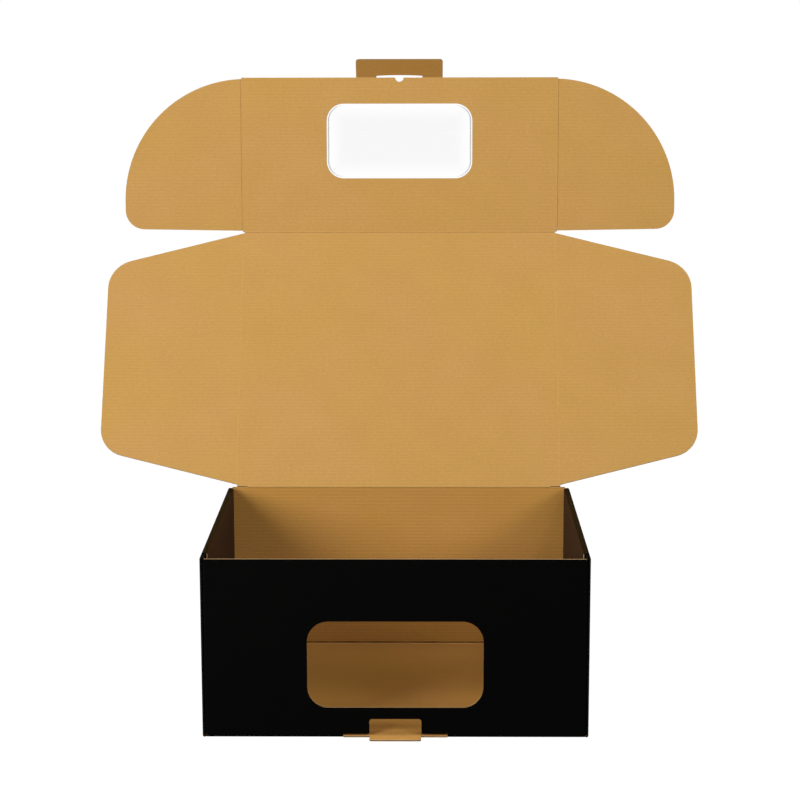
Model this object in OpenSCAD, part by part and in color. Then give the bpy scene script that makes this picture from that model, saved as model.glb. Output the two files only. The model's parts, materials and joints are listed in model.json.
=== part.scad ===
// Roll-end mailer tray with an attached lid, die-cut and folded from one sheet of fine-flute
// corrugated board, black outside and kraft inside. It stands open as a tray. The origin is on the
// floor under the middle of the base, the front faces -Y and Z is up.

/* [Board] */
// Thickness of the corrugated board
board_t = 1.5; // [1.2:0.1:2]
// Inside radius of the tray's right-angle folds
fold_r = 0.5; // [0.3:0.1:1]
// Depth of a flap's crease axis behind its kraft face
crease_d = 0.3; // [0.2:0.05:0.5]
// Half of the slit between two panels that share a crease
crease_gap = 0.05; // [0.03:0.01:0.1]
// Air between neighbouring layers of a rolled side wall
ply_gap = 0.4; // [0.2:0.1:2]

/* [Tray] */
// Outside width of the tray
tray_w = 330; // [250:1:420]
// Outside depth of the tray, front to back
tray_d = 272; // [220:1:360]
// Height of the rolled side rims
rim_h = 158.7; // [150:0.1:200]
// How far the front wall's cut edge lies below the underside of the rolled rims
front_drop = 0.2; // [0.2:0.1:6]
// How far the side wall's plain front end rises over the front wall's cut edge
side_rise = 0.2; // [0:0.1:0.2]
// Setback of a side wall's upright cut edges from the front and back faces
side_setback = 0.6; // [0.3:0.1:2]
// How far behind the front face the rolled rim starts
roll_front = 15; // [8:1:30]
// How far before the back face the rolled rim ends
roll_back = 5; // [4:1:20]
// Chamfer at the two lower corners of a rolled-in panel
roll_chamfer = 8; // [2:1:20]
// Length of the corner flaps held inside the side walls
corner_flap_l = 104; // [60:1:105]
// Slant of the corner flaps' free ends
corner_flap_taper = 8; // [0:1:20]

/* [Foot locks] */
// Length of each foot that locks a rolled-in panel into the base
foot_l = 36; // [20:1:50]
// Distance of each foot's middle from the middle of the tray
foot_y = 66; // [40:1:80]
// Narrowing of a foot at each end, towards its tip
foot_taper = 1; // [0:0.5:3]
// Height of a foot's tip above the floor
foot_lift = 0.2; // [0:0.1:0.5]
// Clearance round a foot in its slot, and of a cut tongue in its hole
kerf = 0.2; // [0.2:0.05:0.5]

/* [Front wall window] */
// Width of the window in the front wall
window_w = 150; // [80:1:200]
// Height of the window in the front wall
window_h = 76; // [40:1:100]
// Height of the window's lower edge above the floor
window_z = 26.6; // [22:0.2:40]
// Corner radius of the window in the front wall
window_r = 18; // [6:1:24]

/* [Lock] */
// Width of the slit along the front wall's foot
slit_w = 89; // [88:1:120]
// Clear height of that slit above the base
slit_h = 1.6; // [1.6:0.1:3]
// Width of the tongue that stays in the plane of the base
tongue_w = 44; // [30:0.2:60]
// Length of the tongue from its crease
tongue_l = 15; // [10:0.5:17]
// Corner radius of the tongue's tip
tongue_r = 2.4; // [1:0.1:5]
// Lift of the tongue above the floor, in degrees
tongue_lift = 5; // [1:0.5:30]

/* [Lid] */
// Air between the closed lid and the rims
lid_fit = 0.15; // [0.1:0.05:0.5]
// Air at each face of the flaps that hang inside the closed tray
side_fit = 0.15; // [0.1:0.05:0.5]
// Air between the closed tuck panel and the front wall
tuck_fit = 0.4; // [0.2:0.1:1]
// Lean of the open lid behind upright, in degrees
lid_lean = 28.8; // [0:0.2:60]
// Length of the relief slit at each end of the lid's hinge crease
relief_l = 10; // [4:1:20]
// Width of the relief slit
relief_w = 0.4; // [0.4:0.1:2]

/* [Lid side flaps] */
// Reach of each side flap beyond its crease
flap_l = 135; // [90:1:140]
// Distance of a side flap's root from the hinge crease, and a little less from the front crease
flap_root = 2.2; // [1.5:0.1:6]
// Slope of the flap's edge on the hinge side, in degrees
flap_slope_low = 14.4; // [5:0.2:25]
// Slope of the flap's edge on the tuck side, in degrees
flap_slope_high = 14.9; // [5:0.1:25]
// Corner radius on the hinge side
flap_r_low = 28; // [10:1:40]
// Corner radius on the tuck side
flap_r_high = 30; // [10:1:40]

/* [Tuck panel] */
// Height of the tuck panel's lower crease above the floor when the box is closed
tuck_floor = 5.05; // [4:0.05:12]
// Fold of the tuck panel towards the kraft side of the lid, in degrees
tuck_fold = 26.8; // [0:0.2:27]
// Width of the tuck panel's window
tuck_window_w = 146; // [80:1:180]
// Height of the tuck panel's window
tuck_window_h = 74.4; // [40:0.2:90]
// How far that window's middle sits above the front wall's window when the box is closed
tuck_window_rise = 3.55; // [0:0.05:8]
// Corner radius of the tuck panel's window
tuck_window_r = 17; // [6:1:24]
// Thickness of the clear film over that window
film_t = 0.2; // [0.1:0.05:0.3]
// Overlap of the film on the board round the window
film_lap = 9; // [4:1:20]

/* [Tuck ears] */
// Reach of each ear beyond its crease
ear_l = 118; // [80:1:125]
// Radius of the ear's leading edge
ear_r = 122.3; // [100:0.1:130]
// How far short of the tuck panel's lower edge that arc meets the ear's crease
ear_drop = 1.3; // [0:0.1:6]
// Corner radius at the ear's outer lower corner
ear_corner_r = 19; // [6:1:22]
// Gap between the lid crease and the ear's edge at its root
ear_root = 1.3; // [1:0.1:4]
// Gap between the lid crease and the ear's edge at its outer end
ear_tip = 2.8; // [1:0.1:6]

/* [Lock tab] */
// Width of the lock tab
tab_w = 86.5; // [60:0.5:87]
// Length of the lock tab
tab_l = 20.8; // [12:0.2:40]
// Corner radius of the lock tab
tab_r = 3.2; // [1:0.1:8]
// Fold of the lock tab towards the kraft side, in degrees
tab_fold = 33; // [0:1:90]
// Width of the slot cut across the lock tab's crease
tab_slot_w = 45.8; // [45.6:0.2:60]
// Depth of that slot at its ends, beyond the crease
tab_slot_h = 2; // [1.6:0.1:4]
// Rise of the slot's bowed edge at its middle
tab_slot_bow = 0.8; // [0.2:0.1:2]
// Radius of the half-round thumb notch at the slot's middle
notch_r = 4.2; // [2:0.1:6]

/* [Hidden] */
$fn = 96;

// The board's outer liner and its inner liner
BLACK = [0.05, 0.05, 0.05];
KRAFT = [0.80, 0.63, 0.38];
CLEAR = [0.95, 0.96, 0.97, 0.3];

// Outside radius of a fold
fold_out = board_t + fold_r;
half_w = tray_w / 2;
half_d = tray_d / 2;
roll_under = rim_h - board_t;
front_h = roll_under - front_drop;
side_end_h = front_h + side_rise;
// Faces of the three layers of a side wall, from the outer panel inwards
corner_x = half_w - board_t - ply_gap;
inner_x = corner_x - board_t - ply_gap - board_t;
// Corner flaps start above the base and end under the rolled rim
corner_z = fold_out + ply_gap;
// A rolled-in panel hangs just over the base and stops short of the front and back walls
panel_z = board_t + kerf;
panel_front = -half_d + roll_front;
panel_back = half_d - roll_back;

// Crease axes: the lid's hinge, the tuck crease, and the creases of flaps, ears and tongue
hinge_y = half_d - board_t + crease_d;
hinge_z = rim_h + lid_fit + crease_d;
black_y = board_t - crease_d;
lid_l = hinge_y + half_d - board_t - tuck_fit - film_t - black_y;
tuck_h = hinge_z - tuck_floor;
// Distance of the window's upper edge and of the centre of the ears' arc from the lid crease
tuck_window_v = hinge_z - window_z - window_h / 2 - tuck_window_rise - tuck_window_h / 2;
ear_arc_v = tuck_h - ear_drop - sqrt(pow(ear_r, 2) - pow(ear_r - ear_l, 2));
ear_x = inner_x - side_fit - black_y;
flap_x = ear_x - side_fit - board_t;
tongue_y = -half_d + board_t - crease_d;
tongue_z = board_t - crease_d;
slit_z = board_t + slit_h;
hole_h = tongue_z + tongue_l + kerf;
hole_w = tongue_w + 2 * kerf;
flap_top = lid_l - crease_d - flap_root / 2;
// Overlap that joins two solids of one piece, and overshoot of a cut
lap = 1;

// Lays a profile drawn in Y and Z out along X, centred
module along_x(length) {
    rotate([90, 0, 90]) linear_extrude(height = length, center = true) children();
}

// Lays a profile drawn in X and Z out along Y, between two places
module along_y(from, to) {
    translate([0, to, 0]) rotate([90, 0, 0]) linear_extrude(height = to - from) children();
}

// Rectangle with round corners, centred
module round_rect(w, h, r) {
    square([w - 2 * r, h], center = true);
    square([w, h - 2 * r], center = true);
    for (sx = [-1, 1], sy = [-1, 1]) translate([sx * (w / 2 - r), sy * (h / 2 - r)]) circle(r = r);
}

// Quarter ring of board round a fold whose centre is at the origin; qx and qy choose the quarter
module fold_ring(qx, qy) {
    intersection() {
        difference() {
            circle(r = fold_out);
            circle(r = fold_r);
        }
        translate([qx < 0 ? -fold_out : 0, qy < 0 ? -fold_out : 0]) square(fold_out);
    }
}

// Section of base, front wall and back wall, in Y and Z
module front_back_section() {
    translate([-half_d + fold_out, 0]) square([tray_d - 2 * fold_out, board_t]);
    translate([-half_d + fold_out, fold_out]) fold_ring(-1, -1);
    translate([half_d - fold_out, fold_out]) fold_ring(1, -1);
    translate([-half_d, fold_out]) square([board_t, front_h - fold_out]);
    translate([half_d - board_t, fold_out]) square([board_t, front_h - fold_out]);
}

// Section of the strips of base beside the corner folds, in X and Z
module base_strips() {
    for (s = [-1, 1]) translate([s > 0 ? corner_x - fold_out - lap : -half_w + fold_out, 0])
        square([half_w - corner_x + lap, board_t]);
}

// Section of the outer side panels with their folds from the base, in X and Z
module side_section() {
    for (s = [-1, 1]) {
        translate([s * (half_w - fold_out), fold_out]) fold_ring(s, -1);
        translate([s > 0 ? half_w - board_t : -half_w, fold_out]) square([board_t, side_end_h - fold_out]);
    }
}

// Section of the right rolled rim with its rolled-in panel and foot, in X and Z
module roll_section() {
    translate([half_w - board_t, side_end_h - lap]) square([board_t, rim_h - fold_out - side_end_h + lap]);
    translate([half_w - fold_out, rim_h - fold_out]) fold_ring(1, 1);
    translate([inner_x + fold_out, roll_under]) square([half_w - inner_x - 2 * fold_out, board_t]);
    translate([inner_x + fold_out, rim_h - fold_out]) fold_ring(-1, 1);
    translate([inner_x, foot_lift]) square([board_t, rim_h - fold_out - foot_lift]);
}

// Side view of the rolled-in panel, in Y and Z: two chamfered corners and two tapered feet
module roll_outline() {
    polygon([[panel_front, rim_h + lap], [panel_front, panel_z + roll_chamfer],
             [panel_front + roll_chamfer, panel_z], [panel_back - roll_chamfer, panel_z],
             [panel_back, panel_z + roll_chamfer], [panel_back, rim_h + lap]]);
    for (s = [-1, 1]) translate([s * foot_y, 0])
        polygon([[-foot_l / 2, panel_z + lap], [foot_l / 2, panel_z + lap],
                 [foot_l / 2 - foot_taper, 0], [-foot_l / 2 + foot_taper, 0]]);
}

// Front or back wall with its corner flaps, seen from above, with the outside face at y = 0
module corner_plan() {
    translate([-corner_x + fold_out, 0]) square([2 * (corner_x - fold_out), board_t]);
    for (s = [-1, 1]) {
        translate([s * (corner_x - fold_out), fold_out]) fold_ring(s, -1);
        translate([s > 0 ? corner_x - board_t : -corner_x, fold_out])
            square([board_t, corner_flap_l - fold_out]);
    }
}

// Side view of a corner flap, in Y and Z from the outside face: its free end slants
module corner_outline() {
    polygon([[0, corner_z], [corner_flap_l - corner_flap_taper, corner_z], [corner_flap_l, front_h],
             [0, front_h]]);
}

// Wall and both corner flaps as one folded solid
module corner_wall() {
    intersection() {
        linear_extrude(height = front_h) corner_plan();
        along_x(tray_w) corner_outline();
    }
}

// Everything cut out of the front wall: window, lock slit and the hole that the tongue came out of
module front_cuts() {
    translate([0, -half_d + board_t / 2, 0]) rotate([90, 0, 0])
        linear_extrude(height = board_t + 2 * lap, center = true) {
            translate([0, window_z + window_h / 2]) round_rect(window_w, window_h, window_r);
            translate([0, hole_h / 2]) round_rect(hole_w, hole_h, tongue_r);
            translate([-hole_w / 2, 0]) square([hole_w, hole_h / 2]);
        }
    translate([-slit_w / 2, -half_d - lap, -lap]) cube([slit_w, fold_out + lap, slit_z + lap]);
}

// Notch of a crease on a panel's end: clears the quarter turn on the kraft side and, where
// both_ways is set, also the turn to the black side. The axis is at the origin, the panel lies
// above it with its kraft face towards -Y
module crease_notch(length, both_ways = false) {
    reach = 2 * board_t;
    along_x(length) polygon([[-reach, -reach], [reach, -reach],
        [reach, both_ways ? reach + crease_gap : crease_gap], [0, crease_gap], [-reach, reach + crease_gap]]);
}

// Panel cut from an outline in X and Z, with its kraft face at -crease_d and its black face behind
module panel() {
    translate([0, black_y, 0]) rotate([90, 0, 0]) linear_extrude(height = board_t) children();
}

// Back wall between the corner folds: up to the lid's hinge crease, and beside it up to the rims
module hinge_wall() {
    shoulder_x = corner_x - fold_out;
    difference() {
        translate([-flap_x, half_d - board_t, front_h - lap])
            cube([2 * flap_x, board_t, hinge_z - front_h + lap]);
        translate([0, hinge_y, hinge_z]) mirror([0, 0, 1]) crease_notch(tray_w, true);
    }
    for (s = [0, 1]) mirror([s, 0, 0]) translate([flap_x, half_d - board_t, front_h - lap])
        cube([shoulder_x - flap_x, board_t, rim_h - front_h + lap]);
}

// Base in the lock slit: its raw edge is flush with the front and the tongue's crease lies in it
module slit_base() {
    difference() {
        translate([-slit_w / 2, -half_d, 0]) cube([slit_w, fold_out + lap, board_t]);
        translate([0, tongue_y, tongue_z]) rotate([-90, 0, 0]) crease_notch(hole_w);
    }
}

// Slots in the base that take the feet of the rolled-in panels
module foot_slots() {
    for (sx = [-1, 1], sy = [-1, 1])
        translate([sx * (inner_x + board_t / 2) - board_t / 2 - kerf, sy * foot_y - foot_l / 2 - kerf, -lap])
            cube([board_t + 2 * kerf, foot_l + 2 * kerf, lap + board_t + kerf]);
}

module tray() {
    color(BLACK) {
        difference() {
            union() {
                along_x(2 * (corner_x - fold_out)) front_back_section();
                along_y(-half_d + fold_out, half_d - fold_out) base_strips();
                translate([0, -half_d, 0]) corner_wall();
                translate([0, half_d, 0]) mirror([0, 1, 0]) corner_wall();
            }
            front_cuts();
            foot_slots();
        }
        along_y(-half_d + side_setback, half_d - side_setback) side_section();
        hinge_wall();
        slit_base();
        for (s = [0, 1]) mirror([s, 0, 0]) intersection() {
            along_y(panel_front, panel_back) roll_section();
            along_x(2 * tray_w) roll_outline();
        }
    }
}

// Frame of the open lid: the hinge axis is at its origin, the lid goes up and kraft faces -Y
module lid_frame() {
    translate([0, hinge_y, hinge_z]) rotate([-lid_lean, 0, 0]) children();
}

module lid() {
    color(KRAFT) lid_frame() difference() {
        panel() translate([-flap_x, 0]) square([2 * flap_x, lid_l]);
        crease_notch(tray_w, true);
        translate([0, 0, lid_l]) mirror([0, 0, 1]) crease_notch(tray_w);
        for (s = [0, 1]) mirror([s, 0, 0]) {
            translate([flap_x, 0, lid_l / 2]) rotate([0, -90, 0]) crease_notch(tray_d);
            translate([flap_x - relief_l, -board_t, -lap]) cube([relief_l + lap, 3 * board_t, relief_w + lap]);
        }
    }
}

// Outline of a lid side flap from its crease outwards: two slanted edges and two round corners
module flap_outline() {
    low_c = [flap_l - flap_r_low,
             flap_root + tan(flap_slope_low) * (flap_l - flap_r_low) + flap_r_low / cos(flap_slope_low)];
    high_c = [flap_l - flap_r_high,
              flap_top - tan(flap_slope_high) * (flap_l - flap_r_high) - flap_r_high / cos(flap_slope_high)];
    polygon([[0, flap_root], low_c + flap_r_low * [sin(flap_slope_low), -cos(flap_slope_low)], low_c,
             [flap_l, low_c[1]], [flap_l, high_c[1]], high_c,
             high_c + flap_r_high * [sin(flap_slope_high), cos(flap_slope_high)], [0, flap_top]]);
    translate(low_c) circle(r = flap_r_low);
    translate(high_c) circle(r = flap_r_high);
}

// Right side flap in the lid's frame
module lid_flap() {
    difference() {
        translate([flap_x, 0, 0]) panel() flap_outline();
        translate([flap_x, 0, lid_l / 2]) rotate([0, 90, 0]) crease_notch(2 * tray_d);
    }
}

module lid_flap_right() {
    color(KRAFT) lid_frame() lid_flap();
}

module lid_flap_left() {
    color(KRAFT) lid_frame() mirror([1, 0, 0]) lid_flap();
}

// Frame of the tuck panel: the crease with the lid is at its origin
module tuck_frame() {
    lid_frame() translate([0, 0, lid_l]) rotate([tuck_fold, 0, 0]) children();
}

module tuck_panel() {
    color(KRAFT) tuck_frame() difference() {
        panel() difference() {
            translate([-ear_x, 0]) square([2 * ear_x, tuck_h]);
            translate([0, tuck_window_v + tuck_window_h / 2])
                round_rect(tuck_window_w, tuck_window_h, tuck_window_r);
            translate([0, tuck_h]) circle(r = notch_r);
        }
        crease_notch(tray_w);
        translate([0, 0, tuck_h]) mirror([0, 0, 1]) crease_notch(tab_w + 2 * kerf, true);
        for (s = [0, 1]) mirror([s, 0, 0])
            translate([ear_x, 0, tuck_h / 2]) rotate([0, -90, 0]) crease_notch(2 * tuck_h);
    }
}

// Clear film glued over the window, on the black side
module window_film() {
    color(CLEAR) tuck_frame()
        translate([0, black_y + film_t, tuck_window_v + tuck_window_h / 2]) rotate([90, 0, 0])
            linear_extrude(height = film_t)
                square([tuck_window_w + 2 * film_lap, tuck_window_h + 2 * film_lap], center = true);
}

// Outline of a tuck ear from its crease outwards: a large leading arc and a round lower corner
module ear_outline() {
    corner_c = [ear_l - ear_corner_r, ear_tip + ear_corner_r];
    intersection() {
        union() {
            translate([ear_l - ear_r, ear_arc_v]) circle(r = ear_r, $fn = 180);
            square([ear_l, ear_arc_v]);
        }
        union() {
            polygon([[0, ear_root], [corner_c[0], ear_tip], corner_c, [ear_l, corner_c[1]],
                     [ear_l, tuck_h], [0, tuck_h]]);
            translate(corner_c) circle(r = ear_corner_r);
        }
    }
}

// Right ear in the tuck panel's frame
module tuck_ear() {
    difference() {
        translate([ear_x, 0, 0]) panel() ear_outline();
        translate([ear_x, 0, tuck_h / 2]) rotate([0, 90, 0]) crease_notch(2 * tuck_h);
    }
}

module tuck_ear_right() {
    color(KRAFT) tuck_frame() tuck_ear();
}

module tuck_ear_left() {
    color(KRAFT) tuck_frame() mirror([1, 0, 0]) tuck_ear();
}

// Slot across the lock tab's crease, with a bowed far edge drawn as a shallow arc
module tab_slot() {
    bow_r = (pow(tab_slot_w / 2, 2) + pow(tab_slot_bow, 2)) / (2 * tab_slot_bow);
    translate([-tab_slot_w / 2, -lap]) square([tab_slot_w, tab_slot_h + lap]);
    intersection() {
        translate([0, tab_slot_h + tab_slot_bow - bow_r]) circle(r = bow_r, $fn = 360);
        translate([-tab_slot_w / 2, 0]) square([tab_slot_w, tab_slot_h + 2 * tab_slot_bow]);
    }
}

module lock_tab() {
    color(KRAFT) tuck_frame() translate([0, 0, tuck_h]) rotate([tab_fold, 0, 0]) difference() {
        panel() difference() {
            union() {
                translate([0, tab_l / 2]) round_rect(tab_w, tab_l, tab_r);
                translate([-tab_w / 2, 0]) square([tab_w, tab_l / 2]);
            }
            tab_slot();
        }
        crease_notch(2 * tab_w, true);
    }
}

// Tongue cut from the front wall, in the plane of the base, with its kraft face up
module lock_tongue() {
    color(KRAFT) translate([0, tongue_y, tongue_z]) rotate([90 - tongue_lift, 0, 0]) mirror([0, 1, 0])
        difference() {
            panel() {
                translate([0, tongue_l / 2]) round_rect(tongue_w, tongue_l, tongue_r);
                translate([-tongue_w / 2, 0]) square([tongue_w, tongue_l / 2]);
            }
            crease_notch(2 * tongue_w);
        }
}

tray();
lid();
lid_flap_left();
lid_flap_right();
tuck_panel();
window_film();
tuck_ear_left();
tuck_ear_right();
lock_tab();
lock_tongue();
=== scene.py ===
# %% [markdown]
# # A windowed tray box in corrugated board
# The object is a packing box, die-cut and folded from one sheet of fine-flute board: black paper
# outside, bare brown kraft inside. It stands open, its lid leaning back, so the picture is nearly
# all flat board. What makes it look real is what board does: a faint washboard of flutes under
# the paper, creases, wavy cut edges and two very different faces.
# The solids arrive finished from the model. This lesson gives them their paper and their light.

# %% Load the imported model
import json
import math
import bpy
from mathutils import Euler, Matrix, Vector


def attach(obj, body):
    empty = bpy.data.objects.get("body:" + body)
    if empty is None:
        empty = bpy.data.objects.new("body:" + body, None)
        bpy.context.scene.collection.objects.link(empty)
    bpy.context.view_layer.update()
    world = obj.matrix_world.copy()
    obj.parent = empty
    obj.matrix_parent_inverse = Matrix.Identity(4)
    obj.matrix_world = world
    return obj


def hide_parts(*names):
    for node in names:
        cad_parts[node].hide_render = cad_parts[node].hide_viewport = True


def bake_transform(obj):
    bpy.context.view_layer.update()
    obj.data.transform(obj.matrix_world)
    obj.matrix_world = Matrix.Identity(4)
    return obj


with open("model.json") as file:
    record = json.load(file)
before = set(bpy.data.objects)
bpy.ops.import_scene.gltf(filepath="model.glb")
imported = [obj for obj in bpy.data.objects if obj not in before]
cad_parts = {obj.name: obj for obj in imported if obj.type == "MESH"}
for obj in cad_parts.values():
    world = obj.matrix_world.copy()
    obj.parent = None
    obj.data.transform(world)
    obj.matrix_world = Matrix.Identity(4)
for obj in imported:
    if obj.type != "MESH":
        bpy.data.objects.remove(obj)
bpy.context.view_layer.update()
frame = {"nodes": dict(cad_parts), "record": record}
print("nodes:", ", ".join(sorted(frame["nodes"])))

# %% [markdown]
# ## The camera
# The photograph looks down on the box by ten degrees from nearly two metres away, with a long
# lens, so its uprights stay almost parallel. A camera has no target here: it is placed and turned
# by numbers, and its field of view is set by the lens in millimetres on a 36 mm sensor. The place,
# the turn and the lens were worked out from the straight edges of the box in the photograph.

# %% Place the camera
VIEW_FROM = (0.0237, -1.8547, 0.6035)
LOOKS_DOWN, ROLLS, TURNS = 10.23, 0.11, 0.62    # degrees
LENS_PIXELS, PICTURE_PIXELS, SENSOR = 2102.75, 800, 36

bpy.ops.object.select_all(action="DESELECT")
bpy.ops.object.camera_add(location=VIEW_FROM)
camera = bpy.context.object
camera.name = "camera"
camera.rotation_euler = Euler([math.radians(a) for a in (90 - LOOKS_DOWN, ROLLS, TURNS)], "XYZ")
camera.data.sensor_fit = "HORIZONTAL"
camera.data.sensor_width = SENSOR
camera.data.lens = LENS_PIXELS / PICTURE_PIXELS * SENSOR
camera.data.clip_start, camera.data.clip_end = 0.1, 60
bpy.context.scene.camera = camera
print("lens: %.1f mm" % camera.data.lens)

# %% [markdown]
# ## Floor and backdrop
# A product photograph on white has no edge between floor and wall. Lamps strong enough to turn
# both white would wash out the box, so the floor and the world glow instead, for the camera alone.
# For all other rays the world is nearly black and the floor a plain grey paper, so they hardly
# light the box. The camera sees a share of that paper too, and with it the box's soft shadow.

# %% Build the floor
SEEN_SHARE = 0.85       # share of the floor that glows for the camera
FLOOR_GLOW = 1.18       # makes that share alone white
FLOOR_GREY = 0.3

def stage_material(name, seen, lit):
    """seen is the strength of the glow, and lit the grey of the plain paper under it."""
    m = bpy.data.materials.new(name)
    m.use_nodes = True
    nodes, links = m.node_tree.nodes, m.node_tree.links
    nodes.clear()
    out = nodes.new("ShaderNodeOutputMaterial")
    mix = nodes.new("ShaderNodeMixShader")
    paper = nodes.new("ShaderNodeBsdfDiffuse")
    paper.inputs["Color"].default_value = (lit, lit, lit, 1)
    glow = nodes.new("ShaderNodeEmission")
    glow.inputs["Strength"].default_value = seen
    ray = nodes.new("ShaderNodeLightPath")
    share = nodes.new("ShaderNodeMath")
    share.operation = "MULTIPLY"
    share.inputs[1].default_value = SEEN_SHARE
    links.new(ray.outputs["Is Camera Ray"], share.inputs[0])
    links.new(share.outputs[0], mix.inputs["Fac"])
    links.new(paper.outputs[0], mix.inputs[1])
    links.new(glow.outputs[0], mix.inputs[2])
    links.new(mix.outputs[0], out.inputs["Surface"])
    return m

bpy.ops.mesh.primitive_plane_add(size=14, location=(0, 3, 0))
floor = bpy.context.object
floor.name = "floor"
floor.data.materials.append(stage_material("white_sweep", FLOOR_GLOW, FLOOR_GREY))
print("floor:", floor.name)

# %% Build the world
world = bpy.data.worlds.new("studio")
bpy.context.scene.world = world
world.use_nodes = True
nodes, links = world.node_tree.nodes, world.node_tree.links
room, wall = nodes["Background"], nodes.new("ShaderNodeBackground")
room.inputs["Color"].default_value = (1.0, 0.985, 0.96, 1)
room.inputs["Strength"].default_value = 0.02
wall.inputs["Color"].default_value = (1, 1, 1, 1)
wall.inputs["Strength"].default_value = 1.0
see, either = nodes.new("ShaderNodeLightPath"), nodes.new("ShaderNodeMath")
choose = nodes.new("ShaderNodeMixShader")
either.operation = "MAXIMUM"
links.new(see.outputs["Is Camera Ray"], either.inputs[0])
links.new(see.outputs["Is Transmission Ray"], either.inputs[1])     # seen through a clear piece
links.new(either.outputs[0], choose.inputs["Fac"])
links.new(room.outputs[0], choose.inputs[1])
links.new(wall.outputs[0], choose.inputs[2])
links.new(choose.outputs[0], nodes["World Output"].inputs["Surface"])
print("world:", world.name)

# %% [markdown]
# ## The lamps
# Four large soft lamps light the box from the front at a level at which a colour renders about as
# it is written. The key stands low on the left and a weaker fill low on the right, and past each
# side wall they leave a soft slanting shadow on the back wall. A high lamp and a faint one overhead
# reach the tray's floor. A bright world would be simpler, but its light comes from everywhere and
# leaves no shadow to shape the tray. How strong each lamp is was found by mixing pictures that were
# each lit by one lamp.

# %% Hang the lamps
MIDDLE = (0, 0.15, 0.35)        # what the lamps face
WARM = (1, 0.98, 0.95)

def soft_lamp(name, place, wide, tall, power):
    """Softbox that faces the middle of the open box."""
    bpy.ops.object.light_add(type="AREA", location=place)
    lamp = bpy.context.object
    lamp.name = name
    lamp.data.shape = "RECTANGLE"
    lamp.data.size, lamp.data.size_y = wide, tall
    lamp.data.energy = power
    lamp.data.color = WARM
    lamp.rotation_euler = (Vector(MIDDLE) - Vector(place)).to_track_quat("-Z", "Y").to_euler()

# name, place, width, height, watts
soft_lamp("key", (-1.41, -1.54, 0.92), 0.8, 1.0, 36)
soft_lamp("fill", (1.41, -1.53, 1.06), 0.7, 0.7, 15.5)
soft_lamp("high", (0.95, -0.98, 2.11), 0.7, 0.7, 11)
soft_lamp("top", (0, 0, 2.6), 1.2, 1.2, 4)

# %% [markdown]
# ## What the board is made of
# Corrugated board is two papers with a wavy paper glued between them. The sheet of this box has
# one black face and one kraft face, and its cut edges show the wave. All the flutes run one way
# in the flat sheet, across the front wall, the back wall and the lid.
# Each piece of board gets a map of that flat sheet: U runs along the flutes and V across them, in
# metres, so one wave is always 3.3 mm of V. A second number, the depth, is 0 on the kraft face
# and 1 on the black face. With these three numbers one material can draw the wave on any cut
# edge, also on a rounded one, as a saw would show it.

# %% Name the board's sizes
BOARD = 0.0015          # thickness of the board
FLUTE = 0.0033          # one wave of the corrugated paper
KRAFT_SIDE = 0.0003     # from a crease's axis to the kraft face
print("one wave is %.1f thicknesses long" % (FLUTE / BOARD))

# %% Nodes that every paper shares
class Paper:
    """A material's node tree, with short ways to add and join nodes."""

    def __init__(self, name):
        self.material = bpy.data.materials.new(name)
        self.material.use_nodes = True
        self.nodes, self.links = self.material.node_tree.nodes, self.material.node_tree.links
        self.bsdf = self.nodes["Principled BSDF"]

    def node(self, kind, **settings):
        n = self.nodes.new("ShaderNode" + kind)
        for key, value in settings.items():
            setattr(n, key, value)
        return n

    def math(self, operation, a, b=0.0, c=0.0):
        """Each value is a number or a socket. MULTIPLY_ADD gives a * b + c."""
        n = self.node("Math", operation=operation)
        for socket, value in zip(n.inputs, (a, b, c)):
            if isinstance(value, (int, float)):
                socket.default_value = value
            else:
                self.links.new(value, socket)
        return n.outputs[0]

    def distance(self, value, place):
        """How far a value is from a place, without its sign."""
        return self.math("ABSOLUTE", self.math("SUBTRACT", value, place))

    def product(self, a, b):
        return self.math("MULTIPLY", a, b)

    def sheet(self):
        """The sheet map, its V, and the wave, which runs from -1 to 1 once in each flute."""
        uv = self.node("UVMap", uv_map="sheet").outputs[0]
        xyz = self.node("SeparateXYZ")
        self.links.new(uv, xyz.inputs[0])
        v = xyz.outputs["Y"]
        return uv, v, self.math("SINE", self.product(v, 2 * math.pi / FLUTE))

    def noise(self, vector, scale, detail, rough, stretch=(1, 1, 1)):
        """scale is about the number of blots to a metre, and a stretch below 1 draws them out."""
        place = self.node("Mapping")
        place.inputs["Scale"].default_value = stretch
        self.links.new(vector, place.inputs[0])
        n = self.node("TexNoise")
        n.inputs["Scale"].default_value = scale
        n.inputs["Detail"].default_value = detail
        n.inputs["Roughness"].default_value = rough
        self.links.new(place.outputs[0], n.inputs["Vector"])
        return n.outputs["Fac"]

    def blend(self, factor, a, b, mode="MIX"):
        n = self.node("Mix", data_type="RGBA", blend_type=mode)
        for name, value in (("Factor", factor), ("A", a), ("B", b)):
            socket = n.inputs[name]
            if isinstance(value, (int, float)):
                socket.default_value = value
            elif isinstance(value, tuple):
                socket.default_value = value + (1,)
            else:
                self.links.new(value, socket)
        return n.outputs["Result"]

    def surface(self, colour, rough, sheen):
        """colour is a socket, rough a number or a socket, and sheen a number."""
        self.links.new(colour, self.bsdf.inputs["Base Color"])
        if isinstance(rough, float):
            self.bsdf.inputs["Roughness"].default_value = rough
        else:
            self.links.new(rough, self.bsdf.inputs["Roughness"])
        self.bsdf.inputs["Specular IOR Level"].default_value = sheen

    def bump(self, height, distance, strength):
        n = self.node("Bump")
        n.inputs["Strength"].default_value = strength
        n.inputs["Distance"].default_value = distance
        self.links.new(height, n.inputs["Height"])
        self.links.new(n.outputs[0], self.bsdf.inputs["Normal"])

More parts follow.
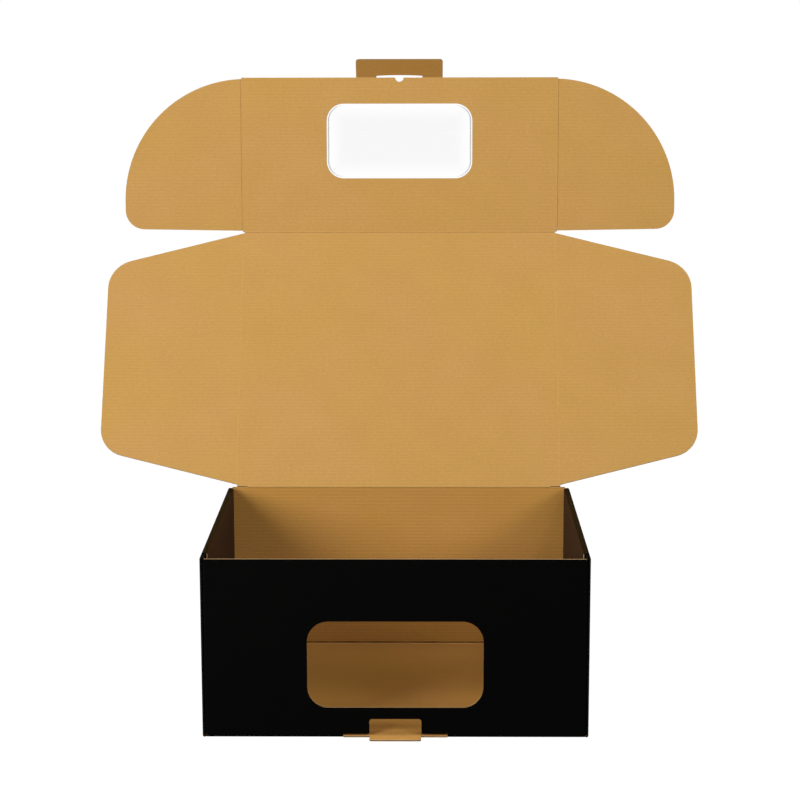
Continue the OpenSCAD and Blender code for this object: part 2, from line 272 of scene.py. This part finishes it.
# %% [markdown]
# ## Kraft paper
# Unbleached paper is brown with small darker and lighter fibres, a cloudy mottle a few centimetres
# across, and a washboard where it hangs between the flute tips. The washboard shows as faint level
# lines on the lid and stronger ones on the back wall, where the light grazes it. Besides the bump,
# these lines are painted light and shade in the colour, stronger in the tray's paper. The lines
# come and go, because the paper isn't stuck down evenly.
# A scanned sheet would bring its own light and repeat itself over half a metre of lid, so the paper
# is drawn by noises of different sizes, laid over each other on the sheet map.
# Beside a fold a thin dark line of painted shade stands for the shade in the pressed crease. It is
# drawn at one value of V, and breaks up in places.

# %% Make the kraft face
BROWNS = (0.585, 0.332, 0.095), (0.640, 0.370, 0.114)   # the cloud's two shades
TINTS = (0.985, 1.0, 0.90), (1.01, 0.99, 1.06)          # the slow drift of hue, as factors
FIBRE_BROWN = (0.44, 0.225, 0.055)

def painted_crease_shade(p, uv, v, place, half, darkness):
    """Factor that paints shade on the paper at V = place, half to either side, and breaks up in
    places.
    """
    inside = p.math("LESS_THAN", p.distance(v, place), half)
    patchy = p.math("MULTIPLY_ADD", p.noise(uv, 50, 2, 0.6), 2.0, -0.2)
    inside = p.product(inside, p.math("MINIMUM", p.math("MAXIMUM", patchy, 0.1), 1.2))
    return p.math("MULTIPLY_ADD", inside, -darkness, 1.0)

def kraft_face(name, lines, tone=(1.0, 1.0, 1.0), crease_shade=None):
    """lines is how strongly the flutes show, in the bump and as painted light and shade in the
    colour;
    tone is a tint over the paper's own brown, which paints shade or light on some parts; and the
    last argument gives the place, half width and darkness of a line of painted shade beside a
    crease."""
    p = Paper(name)
    uv, v, wave = p.sheet()
    cloud = p.noise(uv, 26, 3, 0.5)
    drift = p.math("MULTIPLY_ADD", p.noise(uv, 9, 2, 0.5), 3.0, -1.0)
    mottle = p.noise(uv, 340, 3, 0.65)
    fibre = p.noise(uv, 900, 2, 0.6, (0.35, 1, 1))
    broken = p.math("MULTIPLY_ADD", p.noise(uv, 130, 2, 0.6, (0.25, 1, 1)), 5.0, -1.5)
    base = p.blend(1.0, p.blend(cloud, *BROWNS), p.blend(drift, *TINTS), "MULTIPLY")
    # the tint paints shade or light into some parts' paper
    base = p.blend(1.0, base, tone, "MULTIPLY")
    base = p.blend(p.product(p.math("SUBTRACT", fibre, 0.32), 0.55), base, FIBRE_BROWN)
    # the flute lines are painted light and shade in the colour, beside the bump below
    line = p.product(wave, p.product(p.math("MAXIMUM", broken, 0.1), lines))
    level = p.math("ADD", p.math("MULTIPLY_ADD", mottle, 0.20, 0.90), line)
    # a line of painted shade beside a crease
    if crease_shade:
        level = p.product(level, painted_crease_shade(p, uv, v, *crease_shade))
    shade = p.node("CombineColor")
    for socket in shade.inputs:
        p.links.new(level, socket)
    p.surface(p.blend(1.0, base, shade.outputs[0], "MULTIPLY"), rough=0.86, sheen=0.22)
    height = p.math("ADD", p.product(wave, 10 * lines), p.product(fibre, 0.35))
    p.bump(height, distance=0.00006, strength=0.8)
    return p.material

# %% [markdown]
# ## Black paper
# The outside is printed a flat black with hardly any sheen, so it keeps its blackness when seen
# straight on. One plain colour would make the wide walls look cut out of the picture, so two near
# shades cloud over it and a fine grain changes its sheen. The washboard is left in the bump alone,
# because ink hides the lines.
# The side walls' inner panels are the same paper rolled in over the rim, and look dark brown: part
# of that is light from the kraft beside them, and the rest is a brown reflection of that kraft
# painted into their colour.

# %% Make the black face
def black_face(name, dark, light):
    """dark and light are the two shades that the ink clouds between."""
    p = Paper(name)
    uv, _, wave = p.sheet()
    cloud = p.noise(uv, 40, 3, 0.5)
    grain = p.noise(uv, 1500, 2, 0.6)
    rough = p.math("MULTIPLY_ADD", grain, 0.12, 0.46)
    p.surface(p.blend(cloud, dark, light), rough, sheen=0.06)
    height = p.math("ADD", p.product(wave, 0.5), p.product(grain, 0.3))
    p.bump(height, distance=0.00004, strength=0.6)
    return p.material

# %% [markdown]
# ## Cut edges
# A die cuts the board square and leaves three papers to see: two thin straight ones and the wave
# between them, with hollows on both sides of it that are painted dark as their shade. Modelled
# waves would need far more faces than the rest of the box, for an edge 1.5 mm wide, so the
# material draws them. The wave is one sine of V, and there is paper wherever the depth is near
# that sine.
# On the tray the cut edges are drawn near black where they run out into the dark corners, beyond a
# distance from the middle plane. It differs between the front and back walls and the panels between
# them.

# %% Make the cut edge
WAVE_REACH, WAVE_HALF = 0.31, 0.11      # the wave's swing and half its thickness, in depth
SKIN_FROM = 0.36                        # how far from mid-depth the flat papers start
EDGE_BROWNS = (0.60, 0.38, 0.17), (0.78, 0.56, 0.31)
# the hollows' colour is painted shade in the flutes' cavities
HOLLOW_SHADE, NEAR_BLACK = (0.17, 0.09, 0.035), (0.003, 0.003, 0.003)

def blacken_corners(p, colour, on_wall, between, end):
    """Near black beyond on_wall from the middle plane, and beyond between where |Y| is less than
    end.
    """
    place = p.node("SeparateXYZ")
    p.links.new(p.node("TexCoord").outputs["Object"], place.inputs[0])
    across, along = (p.math("ABSOLUTE", place.outputs[axis]) for axis in "XY")
    on_panel = p.math("GREATER_THAN", across, between)
    blackened = p.product(on_panel, p.math("LESS_THAN", along, end))
    blackened = p.math("MAXIMUM", blackened, p.math("GREATER_THAN", across, on_wall))
    return p.blend(blackened, colour, NEAR_BLACK)

def cut_edge(name, blackened=None):
    """The last argument gives the three distances of the corner blackening."""
    p = Paper(name)
    uv, _, wave = p.sheet()
    depth = p.node("Attribute", attribute_name="depth").outputs["Fac"]
    middle = p.math("MULTIPLY_ADD", wave, WAVE_REACH, 0.5)
    medium = p.math("LESS_THAN", p.distance(depth, middle), WAVE_HALF)
    paper = p.math("MAXIMUM", medium, p.math("GREATER_THAN", p.distance(depth, 0.5), SKIN_FROM))
    colour = p.blend(paper, HOLLOW_SHADE, p.blend(p.noise(uv, 1400, 2, 0.6), *EDGE_BROWNS))
    if blackened:
        colour = blacken_corners(p, colour, *blackened)
    p.surface(colour, rough=0.92, sheen=0.15)
    p.bump(paper, distance=0.00012, strength=0.9)
    return p.material

# %% [markdown]
# ## One set of papers for each part of the box
# The kraft of the tray and of the tab lies in shade and looks a deeper, redder brown than the open
# lid's, while the tongue's lies in full light and looks paler. It is one paper, so these tints are
# painted shade on the tray and the tab and painted light on the tongue. Each set lists the paper of
# the kraft faces, the black faces and the cut edges, and the tray's adds the rolled-in panels.

# %% Make the papers
BLACK = black_face("black_liner", (0.0004, 0.0004, 0.0004), (0.0009, 0.0008, 0.0008))
# the rolled panels' brown is a painted reflection of the kraft beside them
ROLLED_BLACK_PAINTED_BOUNCE = black_face("rolled_black_painted_bounce_liner", (0.028, 0.0145, 0.0125), (0.036, 0.0190, 0.0170))
EDGE = cut_edge("cut_edge")
TRAY_EDGE = cut_edge("tray_cut_edge", (0.1613, 0.1602, 0.1343))

KRAFT = kraft_face("kraft_liner", 0.020)
# tints: painted shade on the tray and the tab, painted light on the tongue, and a painted highlight
# on the crease strips; the last numbers give each paper's line of painted crease shade
TRAY_SHADED_KRAFT = kraft_face("tray_painted_shade_kraft_liner", 0.045, (0.875, 0.79, 0.655), (0.0031, 0.0006, 0.85))
TAB_SHADED_KRAFT = kraft_face("tab_painted_shade_kraft_liner", 0.025, (0.77, 0.70, 0.58), (0.0, 0.0014, 0.50))
TONGUE_LIT_KRAFT = kraft_face("tongue_painted_light_kraft_liner", 0.030, (1.34, 1.27, 1.06))
CREASE_LIT_SHADED_KRAFT = kraft_face("crease_painted_highlight_shade_liner", 0.010, (1.04, 1.04, 1.04), (0.0006, 0.0004, 0.34))

LID_PAPERS = (KRAFT, BLACK, EDGE)
TRAY_PAPERS = (TRAY_SHADED_KRAFT, BLACK, TRAY_EDGE, ROLLED_BLACK_PAINTED_BOUNCE)
TAB_PAPERS = (TAB_SHADED_KRAFT, BLACK, EDGE)
TONGUE_PAPERS = (TONGUE_LIT_KRAFT, BLACK, EDGE)
CREASE_PAPERS = (CREASE_LIT_SHADED_KRAFT, BLACK, EDGE)
KRAFT_FACE, BLACK_FACE, CUT_FACE, ROLLED_FACE = range(4)    # places in a set of papers
print("papers:", sorted(m.name for m in bpy.data.materials if m.name.endswith(("liner", "edge"))))

# %% [markdown]
# ## From a solid to a piece of board
# A solid from the model has the right shape, but knife-sharp edges and one plain surface. The board
# could be modelled anew, but its windows, slots and chamfers are already right. So a copy of the
# solid is merged into clean faces, its edges are softened by a tenth of a millimetre, and its faces
# are sorted into kraft, black and cut. The copy then stands for the solid.

# %% Copy a solid and soften it
SOFT_EDGE = 0.00009     # width of the bevel

def select_only(piece):
    bpy.ops.object.select_all(action="DESELECT")
    piece.select_set(True)
    bpy.context.view_layer.objects.active = piece

def board_copy(node, name):
    """A clean soft-edged copy of a solid, unturned at the origin, with its place in its mesh."""
    select_only(frame["nodes"][node])
    bpy.ops.object.duplicate()
    piece = bpy.context.object
    place = piece.matrix_world.copy()
    piece.parent = None
    piece.data.transform(place)
    piece.matrix_world = Matrix.Identity(4)
    piece.name = piece.data.name = name
    piece.data.materials.clear()
    bpy.ops.object.mode_set(mode="EDIT")
    bpy.ops.mesh.select_all(action="SELECT")
    bpy.ops.mesh.remove_doubles(threshold=2e-6)
    bpy.ops.mesh.dissolve_limited(angle_limit=math.radians(0.5))
    bpy.ops.object.mode_set(mode="OBJECT")
    soft = piece.modifiers.new("soft_edges", "BEVEL")
    soft.width, soft.segments = SOFT_EDGE, 1
    soft.limit_method, soft.angle_limit = "ANGLE", math.radians(40)
    soft.use_clamp_overlap = True
    bpy.ops.object.modifier_apply(modifier=soft.name)
    return piece

# %% Sort the faces and lay the sheet map
WIDE = 1e-4     # area from which a face is a flat panel and isn't shaded smooth

def paper_faces(piece, sort, lay, papers=LID_PAPERS):
    """sort(centre, normal) gives a face's place in papers, and lay(point, centre) a corner's U, V
    and depth."""
    mesh = piece.data
    for m in papers:
        mesh.materials.append(m)
    while mesh.uv_layers:
        mesh.uv_layers.remove(mesh.uv_layers[0])
    mesh.uv_layers.new(name="sheet")
    mesh.attributes.new("depth", "FLOAT", "CORNER")
    sheet, depth = mesh.uv_layers["sheet"], mesh.attributes["depth"]
    for face in mesh.polygons:
        face.material_index = sort(face.center, face.normal)
        for i in face.loop_indices:
            u, v, d = lay(mesh.vertices[mesh.loops[i].vertex_index].co, face.center)
            sheet.data[i].uv = (u, v)
            depth.data[i].value = d
    select_only(piece)
    bpy.ops.object.shade_smooth_by_angle(angle=math.radians(30))
    for face in mesh.polygons:
        if face.area > WIDE:
            face.use_smooth = False
    count = [sum(f.material_index == k for f in mesh.polygons) for k in range(len(papers))]
    print("%s: faces of each paper %s" % (piece.name, count))

def stand_for(piece, node, body):
    """The piece takes the node's place and moves with the body."""
    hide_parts(node)
    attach(piece, body)

# %% [markdown]
# ## Panels that fold
# A panel is flat, so one direction sorts its faces: those that look the kraft way are kraft, those
# that look the other way are black, and the rest are cut. The lid, the tuck panel and the tab each
# lean by their own angle from the upright, and their side flaps and ears lie flat with them.
# The tongue is a flap of the front wall that stayed in the plane of the base, so its kraft face
# looks up. It is a panel like the others, but it points away from its crease towards the viewer.

# %% Read the creases
X, FRONT, UP = Vector((1, 0, 0)), Vector((0, -1, 0)), Vector((0, 0, 1))
LID_LEAN, TUCK_LEAN = 28.8, 2.0     # degrees back from the upright
TAB_BEND, TONGUE_DROP = 33, 5       # degrees that the tab bends forward, and the tongue drops

joints = {j["name"]: Vector(j["pos_m"]) for j in frame["record"]["behaviour"]["joints"]}
hinge, tuck = joints["lid_hinge"], joints["tuck_crease"]
tab, tongue = joints["tab_crease"], joints["tongue_crease"]

def leaning(degrees, way):
    """The way turned back about the X axis."""
    return Matrix.Rotation(math.radians(-degrees), 3, "X") @ way

print("creases:", ", ".join(sorted(joints)))

# %% Dress every flat panel
LOOKS = 0.8     # a face whose normal agrees this well with a way looks that way

def flat_panel(node, name, crease, kraft_way, away, body, papers=LID_PAPERS, from_tip=False):
    """kraft_way is how the kraft face looks, and away points from the crease along the panel. V
    starts at the crease, or with from_tip a quarter of a flute beyond the tip, so that on the cut
    tip the wave lies close under the kraft face."""
    piece = board_copy(node, name)
    v_start = 0.0
    if from_tip:
        v_start = max((v.co - crease).dot(away) for v in piece.data.vertices) + FLUTE / 4

    def sort(centre, normal):
        facing = normal.dot(kraft_way)
        return KRAFT_FACE if facing > LOOKS else BLACK_FACE if facing < -LOOKS else CUT_FACE

    def lay(point, centre):
        r = point - crease
        return point.x, r.dot(away) - v_start, (KRAFT_SIDE - r.dot(kraft_way)) / BOARD

    paper_faces(piece, sort, lay, papers)
    stand_for(piece, node, body)

def upright_panel(node, name, crease, lean, body, papers=LID_PAPERS):
    """A panel that stands up from its crease, its kraft face to the front, and leans back."""
    flat_panel(node, name, crease, leaning(lean, FRONT), leaning(lean, UP), body, papers)

upright_panel("lid", "lid_board", hinge, LID_LEAN, "lid")
upright_panel("lid_flap_left", "flap_left_board", hinge, LID_LEAN, "flap_left")
upright_panel("lid_flap_right", "flap_right_board", hinge, LID_LEAN, "flap_right")
upright_panel("tuck_panel", "tuck_board", tuck, TUCK_LEAN, "tuck")
upright_panel("tuck_ear_left", "ear_left_board", tuck, TUCK_LEAN, "ear_left")
upright_panel("tuck_ear_right", "ear_right_board", tuck, TUCK_LEAN, "ear_right")
upright_panel("lock_tab", "tab_board", tab, TUCK_LEAN - TAB_BEND, "tab", TAB_PAPERS)
flat_panel("lock_tongue", "tongue_board", tongue, leaning(TONGUE_DROP, UP),
           leaning(TONGUE_DROP, FRONT), "tongue", TONGUE_PAPERS, from_tip=True)

# %% [markdown]
# ## The tray
# The tray is one folded shell, so where a face looks isn't enough: a side wall's panel is rolled
# over the rim and down again, and brings the black paper to its inner face. The shell is listed as
# flat layers and round folds, each with the side on which its black paper lies, and a face takes
# its paper from the layer or fold that it lies in. What lies in none of them is a cut edge. On the
# side walls the flutes stand upright, because the sheet was turned up there.

# %% List the tray's layers and folds
HALF_W, HALF_D = 0.165, 0.136       # outside faces of the tray
RIM = 0.1587                        # top of the rolled rim
FOLD_OUT, FOLD_IN = 0.002, 0.0005   # a fold's two radii
FLAP_X, FLAP_END = 0.1631, 0.029    # outer face of a corner flap, and where it starts in |Y|
ROLL_X, ROLL_END = 0.1597, 0.132    # inner face of a rolled-in panel, and where it ends in |Y|
NEAR = 0.0002                       # how exactly a face has to lie in its place
AXIS_X, AXIS_Y, AXIS_Z = range(3)

# axis of the layer, place of its black face, way in which that face looks, test of the place
LAYERS = [
    (AXIS_Z, 0.0, -1, lambda x, y, z: True),
    (AXIS_Y, HALF_D, 1, lambda x, y, z: z > FOLD_OUT - NEAR),
    (AXIS_X, HALF_W, 1, lambda x, y, z: z > FOLD_OUT - NEAR),
    (AXIS_X, FLAP_X, 1, lambda x, y, z: z > FOLD_OUT and y > FLAP_END),
    (AXIS_X, ROLL_X, -1, lambda x, y, z: y < ROLL_END),
    (AXIS_Z, RIM, 1, lambda x, y, z: y < ROLL_END),
]
# the two axes across the fold, its centre on them, and the quarter that it fills
FOLDS = [
    (AXIS_Y, AXIS_Z, HALF_D - FOLD_OUT, FOLD_OUT, 1, -1),
    (AXIS_X, AXIS_Z, HALF_W - FOLD_OUT, FOLD_OUT, 1, -1),
    (AXIS_X, AXIS_Y, FLAP_X - FOLD_OUT, HALF_D - FOLD_OUT, 1, 1),
    (AXIS_X, AXIS_Z, HALF_W - FOLD_OUT, RIM - FOLD_OUT, 1, 1),
    (AXIS_X, AXIS_Z, ROLL_X + FOLD_OUT, RIM - FOLD_OUT, -1, 1),
]
print("layers and folds:", len(LAYERS), len(FOLDS))

# %% Find the paper of a face of the tray
SQUARE = 0.9    # a face whose normal agrees this well with a way looks square along it

def layer_paper(place, way):
    """Paper of a face that lies on one of the flat layers, or None."""
    for axis, black, side, here in LAYERS:
        if abs(way[axis]) > SQUARE and here(*place):
            if abs(place[axis] - black) < NEAR:
                return ROLLED_FACE if black == ROLL_X else BLACK_FACE
            if abs(place[axis] - black + side * BOARD) < NEAR and way[axis] * side < 0:
                # these kraft faces inside the roll take the black paper: painted shade for the dark
                # gap down the front corner
                return BLACK_FACE if black in (HALF_W, FLAP_X) else KRAFT_FACE
    return None

def fold_paper(place, way):
    """Paper of a face that lies on one of the round folds, or None."""
    for i, j, ci, cj, si, sj in FOLDS:
        di, dj = place[i] - ci, place[j] - cj
        reach = math.hypot(di, dj)
        in_quarter = di * si > -NEAR and dj * sj > -NEAR
        if in_quarter and FOLD_IN - NEAR < reach < FOLD_OUT + NEAR:
            facing = (way[i] * di + way[j] * dj) / max(reach, 1e-6)
            if abs(facing) > SQUARE:
                # a corner flap's fold takes it too: painted shade that closes off the same gap
                dark = facing > 0 or (i, j) == (AXIS_X, AXIS_Y)
                return BLACK_FACE if dark else KRAFT_FACE
    return None

def tray_sort(c, n):
    """The tray's left and right are alike, and so are its front and back."""
    place = (abs(c.x), abs(c.y), c.z)
    way = (n.x * math.copysign(1, c.x), n.y * math.copysign(1, c.y), n.z)
    paper = layer_paper(place, way)
    if paper is None:
        paper = fold_paper(place, way)
    return CUT_FACE if paper is None else paper

# %% Lay the tray's sheet map
BASE_V = HALF_D - FLUTE * 100.25    # keeps the base clear of the painted crease shade, at V = 3.1 mm

def tray_lay(p, c):
    x, y, z = abs(c.x), abs(c.y), c.z
    if x > HALF_W - BOARD - NEAR:                                   # side wall
        return p.z, p.y, (abs(p.x) - HALF_W + BOARD) / BOARD
    if x > ROLL_X - NEAR and z > RIM - BOARD and y < ROLL_END:      # rim
        return p.x, p.y, (p.z - RIM + BOARD) / BOARD
    if ROLL_X - NEAR < x < ROLL_X + BOARD + NEAR and z > BOARD:     # rolled-in panel
        return p.z, p.y, (ROLL_X + BOARD - abs(p.x)) / BOARD
    if FLAP_X - BOARD - NEAR < x:                                   # corner flap
        return p.y, p.z, (abs(p.x) - FLAP_X + BOARD) / BOARD
    if y > HALF_D - BOARD - NEAR and z > BOARD:                     # front or back wall
        return p.x, p.z, (abs(p.y) - HALF_D + BOARD) / BOARD
    return p.x, p.y + BASE_V, (BOARD - p.z) / BOARD                 # base

# %% Dress the tray
tray = board_copy("tray", "tray_board")
paper_faces(tray, tray_sort, tray_lay, TRAY_PAPERS)
stand_for(tray, "tray", "tray")

# %% [markdown]
# ## The bead along the back fold
# Board that is folded towards its kraft face pinches that paper into a low round bead along the
# fold. Through the front window it shows as a bright thread with a dark line over it. That line is
# painted shade in the tray's paper, and the rod keeps the lid's paper, so the tray's painted shade
# stops at it and its thread stands out lighter. The bead could be raised from the base's own faces,
# but a thin rod, half sunk into the base, looks the same and leaves the shell as it is.

# %% Lay the bead
BEAD_R, BEAD_IN = 0.0008, 0.0012    # radius, and how far the rod lies in front of the back wall
BEAD_GAP = 0.0004                   # what it is shorter than the room between the side walls

bpy.ops.object.select_all(action="DESELECT")
bpy.ops.mesh.primitive_cylinder_add(
    vertices=20, radius=BEAD_R, depth=2 * ROLL_X - BEAD_GAP,
    location=(0, HALF_D - BOARD - BEAD_IN, BOARD), rotation=(0, math.radians(90), 0))
bead = bpy.context.object
bead.name = bead.data.name = "fold_bead"
bpy.ops.object.transform_apply(location=True, rotation=True, scale=True)
# the rod keeps the lid's paper, lighter than the tray's painted-shade paper around it
paper_faces(bead, lambda c, n: KRAFT_FACE, lambda p, c: (p.x, p.y + BASE_V, 0.0))
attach(bead, "tray")

# %% [markdown]
# ## The papers over the creases
# The model's panels meet at a crease as two solids that share an axis, with a hair of air between
# them. On the real sheet both papers run on over every crease: the black one stretches round the
# fold, and the kraft one is pinched into a low bead. Panels that bend themselves would lose their
# exact outline, so a narrow strip stands for each paper. It follows the panel on one side and the
# panel on the other as they rest, and turns smoothly between them, so that the fold is round.

# %% Make one strip
SKIN, PROUD = 0.00012, 0.00005      # the paper's thickness, and its height over the board's face
STRIP_STEPS = 14
# from the axis to the board's face, half widths of the strip and of its bend, height of the bead
STRIPS = {BLACK_FACE: (BOARD - KRAFT_SIDE, 0.0022, 0.0012, 0.0),
          KRAFT_FACE: (KRAFT_SIDE, 0.0011, 0.0005, 0.00022)}

def crease_skin(name, crease, along, length, up_a, out_a, fold, face, shaded=1):
    """crease is the middle of the strip on the joint's axis, and along the axis. up_a points along
    panel a over the crease, and out_a is the way in which its paper looks. At rest panel b is
    turned by fold degrees about the axis, positive away from out_a. The line of painted crease
    shade lies on panel b, on panel a if shaded is -1, and nowhere if it is 0."""
    level, reach, bend, bead_height = STRIPS[face]
    radius = level + PROUD - SKIN / 2
    fold = math.radians(fold)
    turn = Matrix.Rotation(fold, 3, along)
    up_b, out_b = turn @ up_a, turn @ out_a
    round_part = max(fold, 0) * radius / 2
    mitre = radius * math.tan(max(-fold, 0) / 2)

    def across(s):
        """Point of the strip's middle at the distance s from the crease, measured on the bend."""
        height = radius + bead_height * math.cos(math.pi * s / reach / 2) ** 2
        if abs(s) < round_part:
            part = Matrix.Rotation(fold * (0.5 + 0.5 * s / round_part), 3, along)
            return part @ (out_a * height)
        if s < 0:
            return out_a * height + up_a * (s + round_part - mitre)
        return out_b * height + up_b * (s - round_part + mitre)

    bpy.ops.object.select_all(action="DESELECT")
    bpy.ops.mesh.primitive_grid_add(x_subdivisions=1, y_subdivisions=STRIP_STEPS, size=2)
    strip = bpy.context.object
    strip.name = strip.data.name = name
    for v in strip.data.vertices:
        v.co = crease + along * math.copysign(length / 2, v.co.x) + across(v.co.y * reach)
    paper = strip.modifiers.new("paper", "SOLIDIFY")
    paper.thickness, paper.offset = SKIN, 0
    bpy.ops.object.modifier_apply(modifier=paper.name)
    bpy.ops.object.mode_set(mode="EDIT")
    bpy.ops.mesh.select_all(action="SELECT")
    bpy.ops.mesh.normals_make_consistent(inside=False)
    bpy.ops.object.mode_set(mode="OBJECT")

    depth = 1.0 if face == BLACK_FACE else 0.0

    def lay(p, c):
        return (p - crease).dot(along), shaded * (p - crease).dot(up_a), depth

    paper_faces(strip, lambda c, n: face, lay, CREASE_PAPERS)
    first, last = crease + across(-bend), crease + across(bend)
    tuple(first)
    tuple(last)
    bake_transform(strip)

def both_papers(name, crease, along, length, up_a, black_way, fold, shaded=1):
    """fold is positive towards the kraft face."""
    crease_skin(name + "_black", crease, along, length, up_a, black_way, fold,
                BLACK_FACE)
    crease_skin(name + "_kraft", crease, -along, length, up_a, -black_way, -fold,
                KRAFT_FACE, shaded)

# %% [markdown]
# ## Where the strips go
# The strips run the length of each crease. An ear's stop six millimetres short of the tuck crease,
# because nearer to it the closed lid leaves only a hair of room beside the front wall. The tab's
# crease is cut by a slot, so it has a strip on either side.
# At each end of the hinge a relief slit parts the lid from the tray. It shows dark, so a strip of
# black paper alone is carried on behind it, a dark sheet that stands in for the shade in the slit.

# %% Lay two strips over every crease
LID_HALF, TUCK_HALF = joints["flap_right_crease"].x, joints["ear_right_crease"].x
RELIEF_X = 0.1467                       # where the hinge ends and a relief slit starts
TUCK_SHORT = 0.001                      # what the tuck crease's strips are shorter than the lid
# how far a strip's middle lies from the hinge, the tuck crease or the middle plane, and its length
FLAP_MIDDLE, FLAP_LONG = 0.1341, 0.263
EAR_MIDDLE, EAR_LONG = 0.0793, 0.1465
TAB_MIDDLE, TAB_LONG = 0.0331, 0.0198
TONGUE_LONG = 0.0436

lid_up, lid_out = leaning(LID_LEAN, UP), leaning(LID_LEAN, -FRONT)
tuck_up, tuck_out = leaning(TUCK_LEAN, UP), leaning(TUCK_LEAN, -FRONT)

both_papers("hinge", hinge, X, 2 * RELIEF_X, UP, -FRONT, -LID_LEAN, -1)
both_papers("tuck", tuck, X, 2 * LID_HALF - TUCK_SHORT, lid_up, lid_out,
            LID_LEAN - TUCK_LEAN, -1)
for side, word in ((-1, "left"), (1, "right")):
    root = hinge + X * side * LID_HALF + lid_up * FLAP_MIDDLE
    both_papers("flap_" + word, root, -side * lid_up, FLAP_LONG,
                X * side, lid_out, 0.0, 0)
    root = tuck + X * side * TUCK_HALF + tuck_up * EAR_MIDDLE
    both_papers("ear_" + word, root, -side * tuck_up, EAR_LONG,
                X * side, tuck_out, 0.0)
    root = tab + X * side * TAB_MIDDLE
    both_papers("tab_" + word, root, X, TAB_LONG, tuck_up, tuck_out, TAB_BEND)
    # black paper behind each relief slit: painted shade for the narrow gap
    root = hinge + X * side * (LID_HALF + RELIEF_X) / 2
    crease_skin("relief_shade_" + word, root, X, LID_HALF - RELIEF_X, UP, -FRONT,
                -LID_LEAN, BLACK_FACE)
both_papers("tongue", tongue, -X, TONGUE_LONG, FRONT, -UP, TONGUE_DROP)

# %% [markdown]
# ## The window film
# A clear sheet is glued behind the tuck panel's window. It is too thin to bend the view: it mirrors
# a few hundredths of the light on each face and lets the rest straight through. So its plastic is a
# smooth mirror that is nearly all transparent, which greys the backdrop by the right small amount.
# The mirror's share is painted larger in the middle than at the rim: a painted reflection of the
# dark room that greys the backdrop in the middle and leaves the rim white.
# Just inside the window's two short sides the glue stops in a faint grey line, which follows the
# rounded corners: it is drawn where the distance to the window's edge is about two millimetres.
# The film itself is a solid of the model, so it only gets its material.

# %% Give the film its plastic
WINDOW_W, WINDOW_H, WINDOW_R = 0.146, 0.0744, 0.017     # size and corner radius of the window
GREY_FROM = 0.020                       # how far in from the window's edge the grey is full
GLUE_LINE, GLUE_HALF = 0.0018, 0.0009   # how far in the glue's line is, and half its width
CLEAR, GREY, GLUE = 0.002, 0.034, 0.40  # the mirror's share at the rim, added inside, on the glue

def clear_film(middle, up):
    """middle and up are the window's centre and upward way in the film's own coordinates."""
    p = Paper("clear_film")
    place = p.node("TexCoord").outputs["Object"]

    def inside(way, half):
        """How far a point lies inside one pair of the window's edges."""
        dot = p.node("VectorMath", operation="DOT_PRODUCT")
        dot.inputs[1].default_value = way
        p.links.new(place, dot.inputs[0])
        return p.math("SUBTRACT", half, p.distance(dot.outputs["Value"], way.dot(middle)))

    a, b = inside(X, WINDOW_W / 2), inside(up, WINDOW_H / 2)
    grey = p.node("MapRange", interpolation_type="SMOOTHSTEP")
    p.links.new(p.math("MINIMUM", a, b), grey.inputs["Value"])
    grey.inputs["From Max"].default_value = GREY_FROM
    side, end = (p.math("MAXIMUM", p.math("SUBTRACT", WINDOW_R, x), 0.0) for x in (a, b))
    reach = p.math("SQRT", p.math("ADD", p.product(side, side), p.product(end, end)))
    from_line = p.distance(reach, WINDOW_R - GLUE_LINE)
    glue = p.math("MAXIMUM", p.math("MULTIPLY_ADD", from_line, -1 / GLUE_HALF, 1.0), 0.0)
    glue = p.product(glue, p.math("MINIMUM", p.math("DIVIDE", side, WINDOW_R), 1.0))
    # the mirror's share, larger towards the middle: a painted reflection
    alpha = p.math("MULTIPLY_ADD", grey.outputs["Result"], GREY, CLEAR)
    p.links.new(p.math("MULTIPLY_ADD", glue, GLUE, alpha), p.bsdf.inputs["Alpha"])
    p.bsdf.inputs["Base Color"].default_value = (0.90, 0.92, 0.94, 1)
    p.bsdf.inputs["Metallic"].default_value = 1.0
    p.bsdf.inputs["Roughness"].default_value = 0.10
    p.bump(p.noise(place, 14, 1, 0.4), distance=0.0008, strength=0.5)
    return p.material

film = frame["nodes"]["window_film"]
corners = [Vector(c) for c in film.bound_box]
film_up = film.matrix_world.to_3x3().inverted() @ tuck_up
film.data.materials.clear()
film.data.materials.append(clear_film(sum(corners, Vector()) / 8, film_up))
print("film:", film.name)

# %% Finish
bpy.context.scene.view_settings.view_transform = "Standard"
